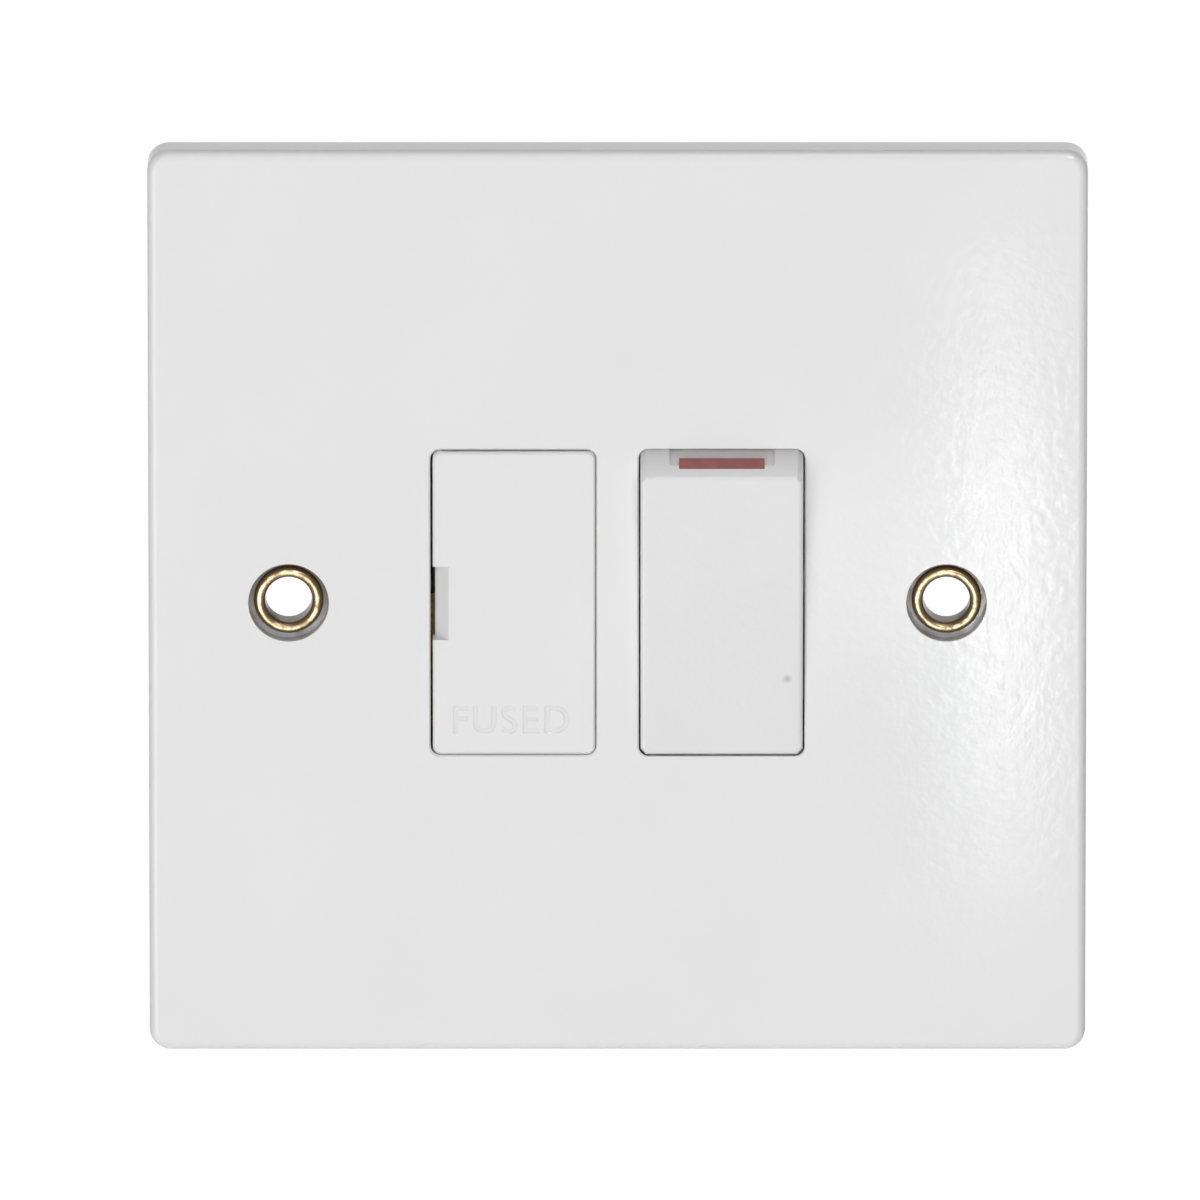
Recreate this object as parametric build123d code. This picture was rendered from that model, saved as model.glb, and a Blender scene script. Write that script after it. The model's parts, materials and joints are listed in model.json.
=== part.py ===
from build123d import *
import os
from math import acos, cos, degrees, hypot, pi, radians, sin, sqrt

# Switched fused connection unit, in millimetres and degrees.
# X runs to the right, Y into the wall and Z up; Y = 0 is the wall, at the middle of the plate.

# Plate
plate_width = 86.0
plate_height = 86.0
plate_depth = 3.2
plate_corner_radius = 2.0
plate_edge_radius = 0.8
face_wall = 1.8
rim_wall = 2.0
rib_wall = 1.2
rib_setback = 0.6
rib_pitch = 12.0
rib_count = 5

# Cartridge fuse, which sets the height of both openings
fuse_length = 25.4
fuse_cap_radius = 3.175
fuse_cap_length = 6.0
fuse_cap_wall = 0.2
fuse_cap_end = 0.5
fuse_depth = 8.0

# Openings in the plate
aperture_width = 15.2
aperture_end_margin = 1.9
aperture_corner_radius = 0.9
aperture_bar = 3.9
aperture_lip = 0.15

# Fixing holes
screw_spacing = 60.3
eyelet_bore_radius = 2.15
eyelet_wall = 0.45
eyelet_flange_radius = 3.2
eyelet_height = 0.7
eyelet_well_radius = 3.7
eyelet_well_depth = 1.3
eyelet_roll_flats = 3
eyelet_tail_radius = 3.1
eyelet_tail = 0.4
eyelet_clearance = 0.05

# Rocker
pivot_depth = 8.47
rock_angle = 5.15
rocker_end_gap = 0.18
rocker_side_gap = 0.15
rocker_flush = 0.05
rocker_wall = 1.4
rocker_edge_radius = 0.45
rocker_corner = 0.5
skirt_overlap_angle = 2.0
trunnion_radius = 1.5
trunnion_clearance = 0.05
trunnion_nip = 0.4
lug_radius = 3.0
cheek_wall = 1.8
cheek_border = 2.5
flag_width = 7.8
flag_angle = 4.4
flag_lead_angle = 3.7
flag_depth = 0.5
flag_clearance = 0.02
flag_recess_width = 9.6
flag_recess_depth = 0.35
flag_recess_lead = 1.5

# Switch mechanism
pole_spacing = 6.8
plunger_radius = 1.2
plunger_nose = 1.2
plunger_flat = 0.3
plunger_reach = 5.0
plunger_back = 1.0
plunger_gap = 0.05
tube_wall = 0.6
tube_clearance = 0.1
tube_reach = 3.5
spring_wire_radius = 0.2
spring_turns = 4
spring_bends = 8
spring_end_gap = 0.02
blade_width = 3.4
blade_thickness = 0.8
blade_offset = 1.28
blade_tail = 5.0
blade_margin = 1.5
blade_ratio = 1.5
knuckle_radius = 0.9
knuckle_clearance = 0.05
cradle_half = 2.0
contact_reach = 6.0
dome_radius = 1.5
dome_height = 0.6
contact_gap = 0.03
silver_radius = 1.5
silver_thickness = 0.5
strap_thickness = 0.8
strap_width = 3.2

# Fuse carrier and clips
carrier_gap = 0.15
carrier_lean = 0.07
carrier_proud = 0.2
carrier_face = 2.0
carrier_edge = 0.2
carrier_travel = 12.0
collar_wall = 1.2
collar_length = 6.0
leg_width = 8.0
leg_thickness = 1.0
leg_setback = 0.125
barb_length = 1.5
barb_height = 0.8
leg_end_clearance = 1.0
saddle_length = 10.0
saddle_wall = 1.4
saddle_wrap = 1.6
saddle_clearance = 0.03
notch_width = 1.45
notch_height = 7.0
notch_depth = 1.5
notch_relief = 0.2
clip_sheet = 0.6
clip_width = 4.7
clip_clearance = 0.05
clip_arm = 6.0
clip_foot = 3.0

# Terminals
terminal_pitch = 15.0
terminal_width = 9.0
terminal_depth = 9.0
terminal_length = 10.0
terminal_margin = 1.4
terminal_chamfer = 0.4
earth_terminal_width = 13.0
earth_bore_spacing = 6.4
wire_bore_radius = 2.25
wire_bore_inset = 3.5
pinch_screw_radius = 1.75
pinch_screw_clearance = 0.05
pinch_tip_gap = 0.1
pinch_screw_proud = 1.0
pinch_access_gap = 0.6
screw_slot_width = 0.7
screw_slot_depth = 0.6

# Rear housing, its screws and the earth strap
housing_wall = 1.5
housing_floor = 1.5
housing_corner_radius = 2.0
housing_chamfer = 0.8
bay_lead = 1.0
bay_clearance = 0.25
bay_side_gap = 2.0
barrier_wall = 1.5
barrier_height = 12.5
support_rib = 1.4
boss_radius = 2.2
boss_length = 8.0
post_radius = 3.0
post_seat = 2.0
housing_screw_z = 9.0
housing_screw_radius = 1.15
housing_screw_length = 8.0
housing_head_radius = 2.1
housing_head_height = 1.5
housing_screw_clearance = 0.05
housing_head_clearance = 0.2
earth_strap_width = 6.0
earth_bar_width = 5.4
earth_strap_gap = 0.6
earth_tab_width = 5.0
earth_strap_tail = 4.0
wire_way_gap = 0.3
cut_margin = 1.0

# Levels worked out from the sizes above
front_y = -plate_depth
inner_y = front_y + face_wall
opening_x = (aperture_width + aperture_bar) / 2
fuse_opening_x = -opening_x
carrier_x = fuse_opening_x + carrier_lean
rocker_x = opening_x
aperture_height = fuse_length + 2 * aperture_end_margin
aperture_half = aperture_height / 2
eyelet_x = screw_spacing / 2
eyelet_barrel_radius = eyelet_bore_radius + eyelet_wall
eyelet_hole_radius = eyelet_barrel_radius + eyelet_clearance
eyelet_seat_y = front_y + eyelet_well_depth
strap_back_y = inner_y + strap_thickness

fuse_y = front_y + fuse_depth
fuse_half = fuse_length / 2
fuse_tube_radius = fuse_cap_radius - fuse_cap_wall
carrier_front_y = front_y - carrier_proud
carrier_back_y = carrier_front_y + carrier_face
carrier_width = aperture_width - 2 * carrier_gap
carrier_height = aperture_height - 2 * carrier_gap
collar_end_y = inner_y + collar_length
leg_outer_z = carrier_height / 2 - leg_setback
leg_inner_z = leg_outer_z - leg_thickness
barb_y = collar_end_y + carrier_travel
leg_end_y = barb_y + barb_length

pivot_y = front_y + pivot_depth
aperture_radius = hypot(pivot_depth, aperture_half)
rocker_radius = aperture_radius - rocker_end_gap
rocker_width = aperture_width - 2 * rocker_side_gap
low_edge_angle = degrees(acos((pivot_depth + rocker_flush) / rocker_radius))
chord_angle = low_edge_angle - rock_angle
rocker_front = rocker_radius * cos(radians(chord_angle))
inner_edge_angle = degrees(acos((pivot_y - inner_y) / rocker_radius))
skirt_angle = inner_edge_angle + rock_angle + skirt_overlap_angle
skirt_y = pivot_y - rocker_radius * cos(radians(skirt_angle))

line_x = rocker_x - pole_spacing / 2
neutral_x = rocker_x + pole_spacing / 2
blade_tilt = rock_angle * blade_ratio
blade_y = pivot_y + plunger_reach + plunger_nose + plunger_gap + blade_offset
blade_back = blade_thickness - blade_offset
dome_centre = blade_back + dome_height - dome_radius
dome_back_y = (
    blade_y
    + dome_centre * cos(radians(blade_tilt))
    + contact_reach * sin(radians(blade_tilt))
    + dome_radius
)
silver_y = dome_back_y + contact_gap
link_front_y = silver_y + silver_thickness
link_back_y = link_front_y + strap_thickness

floor_y = leg_end_y + leg_end_clearance
back_y = floor_y + housing_floor
terminal_inner_z = aperture_half + terminal_margin
terminal_outer_z = terminal_inner_z + terminal_length
terminal_z = (terminal_inner_z + terminal_outer_z) / 2
terminal_front_y = floor_y - terminal_depth
wire_bore_y = terminal_front_y + wire_bore_inset
housing_end_z = terminal_outer_z + bay_lead
barrier_x = terminal_pitch / 2
bay_near_x = barrier_x - barrier_wall / 2
bay_far_x = barrier_x + barrier_wall / 2
earth_terminal_x = -bay_far_x - bay_clearance - earth_terminal_width / 2
housing_inside_x = bay_far_x + bay_clearance + earth_terminal_width + bay_side_gap
housing_width = 2 * (housing_inside_x + housing_wall)
wire_way_y = terminal_front_y - strap_thickness - wire_way_gap
boss_end_y = inner_y + boss_length
seat_y = boss_end_y + post_seat
housing_screw_x = housing_inside_x - boss_radius - housing_screw_clearance
housing_hole_radius = housing_screw_radius + housing_screw_clearance
earth_bar_z = housing_end_z + earth_strap_gap

clip_half_gap = fuse_cap_radius + clip_clearance
clip_base_y = fuse_y + clip_half_gap
clip_seat_y = clip_base_y + clip_sheet
clip_z = fuse_half - fuse_cap_length / 2
clip_inner_z = clip_z - clip_width / 2
clip_outer_z = clip_z + clip_width / 2
load_run_x = carrier_x - leg_width / 2 - clip_sheet - strap_width / 2


def about(centre, width):
    return (centre - width / 2, centre + width / 2)


earth_bores = about(earth_terminal_x, earth_bore_spacing)


def mirrored(span):
    return (-span[1], -span[0])


def block(x_span, y_span, z_span):
    spans = (x_span, y_span, z_span)
    size = [high - low for low, high in spans]
    centre = [(low + high) / 2 for low, high in spans]
    return Pos(*centre) * Box(*size)


def bar_x(radius, x_span, y, z):
    length = x_span[1] - x_span[0]
    return Pos(sum(x_span) / 2, y, z) * Rot(0, 90, 0) * Cylinder(radius, length)


def bar_y(radius, x, y_span, z):
    length = y_span[1] - y_span[0]
    return Pos(x, sum(y_span) / 2, z) * Rot(90, 0, 0) * Cylinder(radius, length)


def bar_z(radius, x, y, z_span):
    length = z_span[1] - z_span[0]
    return Pos(x, y, sum(z_span) / 2) * Cylinder(radius, length)


# A flat outline drawn in X and Z, thickened between two depths
def slab(outline, y_span):
    return extrude(Plane.XZ.offset(-y_span[0]) * outline, y_span[1] - y_span[0], dir=(0, 1, 0))


# A side outline drawn in Y and Z, thickened between two places along X
def side_slab(outline, x_span):
    return extrude(Plane.YZ.offset(x_span[0]) * outline, x_span[1] - x_span[0], dir=(1, 0, 0))


def turned(shape, y, angle):
    return Pos(0, y, 0) * Rot(angle, 0, 0) * Pos(0, -y, 0) * shape


def rocked(shape):
    return turned(shape, pivot_y, rock_angle)


def tilted(shape):
    return turned(shape, blade_y, -blade_tilt)


# A point of the rocker's side outline, by its angle up from the outward direction
def on_rocker(radius, angle):
    return (pivot_y - radius * cos(radians(angle)), radius * sin(radians(angle)))


def rocker_outline(radius, front, rear_y):
    front_angle = degrees(acos(front / radius))
    rear_angle = degrees(acos((pivot_y - rear_y) / radius))
    middle_angle = (front_angle + rear_angle) / 2
    upper = [on_rocker(radius, a) for a in (front_angle, middle_angle, rear_angle)]
    lower = [on_rocker(radius, -a) for a in (rear_angle, middle_angle, front_angle)]
    edges = [
        ThreePointArc(*upper),
        Line(upper[2], lower[0]),
        ThreePointArc(*lower),
        Line(lower[2], upper[0]),
    ]
    return make_face(edges)


# A slice of the rocker's upper end face between two radii and two angles
def end_slice(inner_radius, outer_radius, low_angle, high_angle):
    middle_angle = (low_angle + high_angle) / 2
    inner = [on_rocker(inner_radius, a) for a in (low_angle, middle_angle, high_angle)]
    outer = [on_rocker(outer_radius, a) for a in (high_angle, middle_angle, low_angle)]
    edges = [
        ThreePointArc(*inner),
        Line(inner[2], outer[0]),
        ThreePointArc(*outer),
        Line(outer[2], inner[0]),
    ]
    return make_face(edges)


def housing_screw_places():
    return [(side * housing_screw_x, -side * housing_screw_z) for side in (-1, 1)]


def wire_places():
    earth = [(x, terminal_z) for x in earth_bores]
    supply = [(0, terminal_z), (terminal_pitch, terminal_z)]
    load = [(-terminal_pitch, -terminal_z), (terminal_pitch, -terminal_z)]
    return earth + supply + load


def make_plate():
    root_y = inner_y - face_wall / 2
    outline = RectangleRounded(plate_width, plate_height, plate_corner_radius)
    plate = slab(outline, (front_y, 0))
    plate = fillet(plate.faces().sort_by(Axis.Y)[0].edges(), plate_edge_radius)
    recess_width = plate_width - 2 * rim_wall
    recess_height = plate_height - 2 * rim_wall
    plate -= slab(Rectangle(recess_width, recess_height), (inner_y, cut_margin))

    for i in range(rib_count):
        rib_x = (i - (rib_count - 1) / 2) * rib_pitch
        rib_span = (-plate_height / 2 + rim_wall / 2, -housing_end_z - earth_strap_gap)
        plate += block(about(rib_x, rib_wall), (root_y, -rib_setback), rib_span)

    collar_width = aperture_width + 2 * collar_wall
    collar_height = aperture_height + 2 * collar_wall
    collar = Pos(fuse_opening_x, 0) * Rectangle(collar_width, collar_height)
    plate += slab(collar, (root_y, collar_end_y))
    opening = RectangleRounded(aperture_width, aperture_height, aperture_corner_radius)
    plate -= slab(Pos(fuse_opening_x, 0) * opening, (front_y - cut_margin, collar_end_y + cut_margin))

    # The rocker's opening flares inwards along the arc of the rocker's ends, so their gap stays even
    inner_half = sqrt(aperture_radius**2 - (pivot_y - inner_y) ** 2)
    flare = (inner_half - aperture_half) / face_wall
    sections = []
    for y in (front_y - cut_margin, inner_y + cut_margin):
        height = aperture_height + 2 * flare * (y - front_y)
        section = RectangleRounded(aperture_width, height, aperture_corner_radius)
        sections.append(Plane.XZ.offset(-y) * Pos(rocker_x, 0) * section)
    plate -= loft(sections, ruled=True)

    face = plate.faces().filter_by(Axis.Y).sort_by(Axis.Y)[0]
    lips = [edge for wire in face.inner_wires() for edge in wire.edges()]
    plate = chamfer(lips, aperture_lip)

    cheek_half = trunnion_radius + cheek_border
    cheek_back_y = pivot_y + cheek_half
    snap_width = 2 * trunnion_radius - trunnion_nip
    for side in (-1, 1):
        cheek_x = rocker_x + side * (aperture_width + cheek_wall) / 2
        through = about(cheek_x, 2 * cheek_wall)
        cheek = block(about(cheek_x, cheek_wall), (root_y, cheek_back_y), (-cheek_half, cheek_half))
        cheek -= bar_x(trunnion_radius + trunnion_clearance, through, pivot_y, 0)
        cheek -= block(through, (pivot_y, cheek_back_y + cut_margin), about(0, snap_width))
        plate += cheek

    for x, z in housing_screw_places():
        boss = bar_y(boss_radius, x, (root_y, boss_end_y), z)
        plate += boss - bar_y(housing_hole_radius, x, (inner_y, boss_end_y + cut_margin), z)

    # Each eyelet is sunk in a round well
    for x in (-eyelet_x, eyelet_x):
        plate -= bar_y(eyelet_well_radius, x, (front_y - cut_margin, eyelet_seat_y), 0)
        plate -= bar_y(eyelet_hole_radius, x, (front_y - cut_margin, cut_margin), 0)
    return plate


def make_eyelet(x):
    roll_radius = (eyelet_flange_radius - eyelet_bore_radius) / 2
    roll_centre = (eyelet_bore_radius + roll_radius, eyelet_seat_y - eyelet_height + roll_radius)
    roll = []
    for i in range(eyelet_roll_flats + 1):
        angle = pi * i / eyelet_roll_flats
        roll.append((roll_centre[0] + roll_radius * cos(angle), roll_centre[1] - roll_radius * sin(angle)))
    tail_y = strap_back_y + eyelet_tail
    barrel = [
        (eyelet_bore_radius, tail_y),
        (eyelet_tail_radius, tail_y),
        (eyelet_tail_radius, strap_back_y),
        (eyelet_barrel_radius, strap_back_y),
        (eyelet_barrel_radius, eyelet_seat_y),
        (eyelet_flange_radius, eyelet_seat_y),
    ]
    return Pos(x, 0, 0) * revolve(Polygon(*roll, *barrel, align=None), Axis.Y)


def make_rocker():
    rocker_span = about(rocker_x, rocker_width)
    rocker = side_slab(rocker_outline(rocker_radius, rocker_front, skirt_y), rocker_span)
    rocker = chamfer(rocker.edges().filter_by(GeomType.CIRCLE), rocker_corner)
    rocker = fillet(rocker.faces().sort_by(Axis.Y)[0].edges(), rocker_edge_radius)
    cavity_radius = rocker_radius - rocker_wall
    cavity = rocker_outline(cavity_radius, rocker_front - rocker_wall, skirt_y + cut_margin)
    rocker -= side_slab(cavity, about(rocker_x, rocker_width - 2 * rocker_wall))

    for side in (-1, 1):
        wall_x = rocker_x + side * (rocker_width - rocker_wall) / 2
        wall_span = about(wall_x, rocker_wall)
        rocker += block(wall_span, (skirt_y - rocker_wall, pivot_y), (-lug_radius, lug_radius))
        rocker += bar_x(lug_radius, wall_span, pivot_y, 0)
        trunnion_length = rocker_wall + rocker_side_gap + cheek_wall
        trunnion_x = rocker_x + side * (aperture_width / 2 + cheek_wall - trunnion_length / 2)
        rocker += bar_x(trunnion_radius, about(trunnion_x, trunnion_length), pivot_y, 0)

    crown_y = pivot_y - rocker_front
    tube_bore = plunger_radius + tube_clearance
    for x in (line_x, neutral_x):
        tube = bar_y(tube_bore + tube_wall, x, (crown_y + rocker_wall / 2, pivot_y + tube_reach), 0)
        tube -= bar_y(tube_bore, x, (crown_y + rocker_wall, pivot_y + tube_reach + cut_margin), 0)
        rocker += tube

    flag_low = chord_angle + flag_lead_angle
    recess = end_slice(rocker_radius - flag_recess_depth, aperture_radius + cut_margin,
                       flag_low + flag_recess_lead, skirt_angle + skirt_overlap_angle)
    rocker -= side_slab(recess, about(rocker_x, flag_recess_width))
    pocket = end_slice(rocker_radius - flag_depth - flag_clearance, aperture_radius + cut_margin,
                       flag_low, flag_low + flag_angle)
    rocker -= side_slab(pocket, about(rocker_x, flag_width + 2 * flag_clearance))
    return rocked(rocker)


def make_rocker_flag():
    flag_low = chord_angle + flag_lead_angle
    margin = degrees(flag_clearance / rocker_radius)
    flag_high = flag_low + flag_angle - margin
    strip = end_slice(rocker_radius - flag_depth, rocker_radius, flag_low + margin, flag_high)
    return rocked(side_slab(strip, about(rocker_x, flag_width)))


def make_plunger(x):
    shoulder = pivot_y + plunger_reach
    plunger = bar_y(plunger_radius, x, (pivot_y + plunger_back, shoulder), 0)
    nose = Rot(-90, 0, 0) * Cone(plunger_radius, plunger_flat, plunger_nose)
    return rocked(plunger + Pos(x, shoulder + plunger_nose / 2, 0) * nose)


# A coil bent from short straights, between the bottom of its tube and the back of its plunger
def make_spring(x):
    end_offset = spring_wire_radius + spring_end_gap
    start_y = pivot_y - rocker_front + rocker_wall + end_offset
    length = pivot_y + plunger_back - end_offset - start_y
    coil_radius = plunger_radius - spring_wire_radius
    count = spring_turns * spring_bends
    turns = [2 * pi * i / spring_bends for i in range(count + 1)]
    places = [length * i / count for i in range(count + 1)]
    path = Polyline(*[(coil_radius * cos(a), coil_radius * sin(a), place) for a, place in zip(turns, places)])
    section = Plane(origin=path @ 0, z_dir=path % 0) * RegularPolygon(spring_wire_radius, 6)
    wire = sweep(section, path=path, transition=Transition.RIGHT)
    return rocked(Pos(x, start_y, 0) * Rot(-90, 0, 0) * wire)


def make_moving_contact(x):
    front = blade_y - blade_offset
    blade_z = (-blade_tail, contact_reach + blade_margin)
    blade = block(about(x, blade_width), (front, front + blade_thickness), blade_z)
    blade += bar_x(knuckle_radius, about(x, blade_width), blade_y, 0)
    return tilted(blade)


def make_silver_dome(x):
    back = blade_y + blade_back
    ball = Pos(x, blade_y + dome_centre, contact_reach) * Sphere(dome_radius)
    keep = block(about(x, 2 * dome_radius), (back, back + dome_radius), about(contact_reach, 2 * dome_radius))
    return tilted(ball & keep)


def make_cradle(x):
    cradle = block(about(x, blade_width), (blade_y, link_back_y), (-cradle_half, cradle_half))
    return cradle - bar_x(knuckle_radius + knuckle_clearance, about(x, 2 * blade_width), blade_y, 0)


def make_line_link():
    level = (link_front_y, link_back_y)
    link = make_cradle(line_x)
    link += block((carrier_x - strap_width / 2, line_x), level, about(0, strap_width))
    link += block(about(carrier_x, strap_width), level, (0, clip_inner_z))
    return link


def make_neutral_link():
    run = block(about(neutral_x, strap_width), (link_front_y, link_back_y), (-terminal_inner_z, 0))
    return make_cradle(neutral_x) + run


def make_line_fixed_contact():
    level = (link_front_y, link_back_y)
    foot_z = (terminal_inner_z - strap_width, terminal_inner_z)
    foot_x = (terminal_width / 2 - strap_width, line_x + blade_width / 2)
    strip = block(about(line_x, blade_width), level, (contact_reach - silver_radius, terminal_inner_z))
    return strip + block(foot_x, level, foot_z)


def make_neutral_fixed_contact():
    span = (contact_reach - silver_radius, terminal_inner_z)
    return block(about(neutral_x, blade_width), (link_front_y, link_back_y), span)


def make_silver_face(x):
    return bar_y(silver_radius, x, (silver_y, link_front_y), contact_reach)


def make_clip_grip(z_span):
    outer = clip_half_gap + clip_sheet
    mouth_y = clip_seat_y - clip_arm
    grip = block(about(carrier_x, 2 * outer), (mouth_y, clip_seat_y), z_span)
    return grip - block(about(carrier_x, 2 * clip_half_gap), (mouth_y - cut_margin, clip_base_y), z_span)


def make_fuse_clip_supply():
    clip = make_clip_grip((clip_inner_z, clip_outer_z))
    tab_z = (clip_inner_z, clip_inner_z + clip_sheet)
    clip += block(about(carrier_x, strap_width), (clip_base_y, link_front_y), tab_z)
    foot_z = (clip_inner_z - clip_foot, clip_inner_z + clip_sheet)
    return clip + block(about(carrier_x, strap_width), (link_front_y - clip_sheet, link_front_y), foot_z)


def make_fuse_clip_load():
    clip = make_clip_grip((-clip_outer_z, -clip_inner_z))
    level = (link_back_y - clip_sheet, link_back_y)
    tab_z = (-clip_inner_z - clip_sheet, -clip_inner_z)
    clip += block(about(carrier_x, strap_width), (clip_base_y, link_back_y), tab_z)
    foot_z = (-clip_inner_z - clip_sheet, -clip_inner_z + clip_foot)
    clip += block((load_run_x - strap_width / 2, carrier_x + strap_width / 2), level, foot_z)
    return clip + block(about(load_run_x, strap_width), level, (-terminal_inner_z, foot_z[1]))


def make_fuse_carrier():
    corner = aperture_corner_radius - carrier_gap
    face = slab(RectangleRounded(carrier_width, carrier_height, corner), (carrier_front_y, carrier_back_y))
    carrier = Pos(carrier_x, 0, 0) * chamfer(face.faces().sort_by(Axis.Y)[0].edges(), carrier_edge)

    # The notch slopes down to a slit that is open to the back
    left_x = carrier_x - carrier_width / 2
    slit_x = left_x + notch_relief
    ramp = Polygon(
        (left_x + notch_width, carrier_front_y),
        (slit_x, carrier_front_y + notch_depth),
        (slit_x, carrier_back_y + cut_margin),
        (left_x - cut_margin, carrier_back_y + cut_margin),
        (left_x - cut_margin, carrier_front_y - cut_margin),
        (left_x + notch_width, carrier_front_y - cut_margin),
        align=None,
    )
    carrier -= Pos(0, 0, -notch_height / 2) * extrude(ramp, notch_height, dir=(0, 0, 1))

    leg_span = about(carrier_x, leg_width)
    root_y = carrier_back_y - carrier_face / 2
    for side in (-1, 1):
        leg_z = sorted((side * leg_inner_z, side * leg_outer_z))
        carrier += block(leg_span, (root_y, leg_end_y), leg_z)
        barb = Polygon(
            (barb_y, side * leg_inner_z),
            (barb_y, side * (leg_outer_z + barb_height)),
            (leg_end_y, side * leg_outer_z),
            (leg_end_y, side * leg_inner_z),
            align=None,
        )
        carrier += side_slab(barb, leg_span)

    saddle_bore = fuse_tube_radius + saddle_clearance
    saddle_z = about(0, saddle_length)
    saddle_width = 2 * (saddle_bore + saddle_wall)
    saddle = block(about(carrier_x, saddle_width), (root_y, fuse_y + saddle_wrap), saddle_z)
    saddle -= bar_z(saddle_bore, carrier_x, fuse_y, saddle_z)
    return carrier + saddle


def make_fuse_tube():
    half = fuse_half - fuse_cap_end
    return bar_z(fuse_tube_radius, carrier_x, fuse_y, (-half, half))


def make_fuse_cap(side):
    outer = sorted((side * (fuse_half - fuse_cap_length), side * fuse_half))
    inner = sorted((side * (fuse_half - fuse_cap_length - cut_margin), side * (fuse_half - fuse_cap_end)))
    cap = bar_z(fuse_cap_radius, carrier_x, fuse_y, outer)
    return cap - bar_z(fuse_tube_radius, carrier_x, fuse_y, inner)


def make_terminal(x, side, width, bores):
    z_span = sorted((side * terminal_inner_z, side * terminal_outer_z))
    body = block(about(x, width), (terminal_front_y, floor_y), z_span)
    body = chamfer(body.edges().filter_by(Axis.Z), terminal_chamfer)
    for bore_x in bores:
        body -= bar_z(wire_bore_radius, bore_x, wire_bore_y, z_span)
        tapped = pinch_screw_radius + pinch_screw_clearance
        body -= bar_y(tapped, bore_x, (wire_bore_y, floor_y + cut_margin), side * terminal_z)
    return body


def screw_slot(x, z, radius, end_y):
    return block(about(x, 2 * radius), (end_y - screw_slot_depth, end_y), about(z, screw_slot_width))


def make_terminal_screws():
    y_span = (wire_bore_y + wire_bore_radius + pinch_tip_gap, floor_y + pinch_screw_proud)
    screws = []
    for x, z in wire_places():
        screw = bar_y(pinch_screw_radius, x, y_span, z)
        screws.append(screw - screw_slot(x, z, pinch_screw_radius, y_span[1]))
    return Compound(screws)


def make_housing_screws():
    head_y = seat_y + housing_head_height
    screws = []
    for x, z in housing_screw_places():
        screw = bar_y(housing_screw_radius, x, (seat_y - housing_screw_length, seat_y), z)
        screw += bar_y(housing_head_radius, x, (seat_y, head_y), z)
        screws.append(screw - screw_slot(x, z, housing_head_radius, head_y))
    return Compound(screws)


def make_earth_strap():
    level = (inner_y, strap_back_y)
    bar_top_z = earth_bar_z + earth_bar_width
    outer_x = eyelet_x + earth_strap_width / 2
    strap = block((-outer_x, outer_x), level, (earth_bar_z, bar_top_z))
    for x in (-eyelet_x, eyelet_x):
        strap += block(about(x, earth_strap_width), level, (-earth_strap_tail, bar_top_z))
        strap -= bar_y(eyelet_hole_radius, x, (inner_y - cut_margin, strap_back_y + cut_margin), 0)
    tab_x = about(earth_terminal_x, earth_tab_width)
    fold_z = (earth_bar_z, earth_bar_z + strap_thickness)
    strap += block(tab_x, (inner_y, terminal_front_y), fold_z)
    tab_z = (terminal_inner_z + bay_lead, fold_z[1])
    return strap + block(tab_x, (terminal_front_y - strap_thickness, terminal_front_y), tab_z)


def make_rear_housing():
    outline = RectangleRounded(housing_width, 2 * housing_end_z, housing_corner_radius)
    housing = slab(outline, (inner_y, back_y))
    housing = chamfer(housing.faces().sort_by(Axis.Y)[-1].edges(), housing_chamfer)
    inside_x = (-housing_inside_x, housing_inside_x)
    inside_z = housing_end_z - housing_wall
    housing -= block(inside_x, (inner_y - cut_margin, floor_y), (-inside_z, inside_z))

    # Wire ways through the end walls, one for each terminal bay
    way_y = (wire_way_y, floor_y)
    end_z = (inside_z - cut_margin, housing_end_z + cut_margin)
    right_bay = (bay_far_x, housing_inside_x)
    for bay in (mirrored(right_bay), (-bay_near_x, bay_near_x), right_bay):
        housing -= block(bay, way_y, end_z)
    for bay in (mirrored(right_bay), right_bay):
        housing -= block(bay, way_y, mirrored(end_z))
    for x in (-barrier_x, barrier_x):
        for z_span in ((terminal_inner_z, housing_end_z), (-housing_end_z, -terminal_inner_z)):
            housing += block(about(x, barrier_wall), (floor_y - barrier_height, floor_y), z_span)

    # Ribs and pedestals that carry the metalwork
    under = (link_back_y, floor_y)
    clear_z = terminal_inner_z - bay_lead
    housing += block(about(line_x, support_rib), under, (-strap_width / 2, clear_z))
    housing += block(about(neutral_x, support_rib), under, (-clear_z, clear_z))
    housing += block((carrier_x, line_x), under, about(0, support_rib))
    housing += block(about(carrier_x, support_rib), under, (-clip_outer_z, clip_outer_z))
    housing += block(about(load_run_x, support_rib), under, (-clear_z, clip_foot - clip_inner_z))
    pedestal_x = about(carrier_x, 2 * clip_half_gap)
    pedestal_z = (clip_inner_z + clip_sheet, clip_outer_z)
    housing += block(pedestal_x, (clip_seat_y, floor_y), pedestal_z)
    housing += block(pedestal_x, (clip_seat_y, floor_y), mirrored(pedestal_z))

    for x, z in housing_screw_places():
        housing += bar_y(post_radius, x, (boss_end_y, floor_y), z)
    for x, z in housing_screw_places():
        housing -= bar_y(housing_head_radius + housing_head_clearance, x, (seat_y, back_y + cut_margin), z)
        housing -= bar_y(housing_hole_radius, x, (boss_end_y - cut_margin, seat_y), z)
    for x, z in wire_places():
        window = 2 * (pinch_screw_radius + pinch_access_gap)
        housing -= block(about(x, window), (floor_y, back_y + cut_margin), about(z, window))
    return housing


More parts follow.
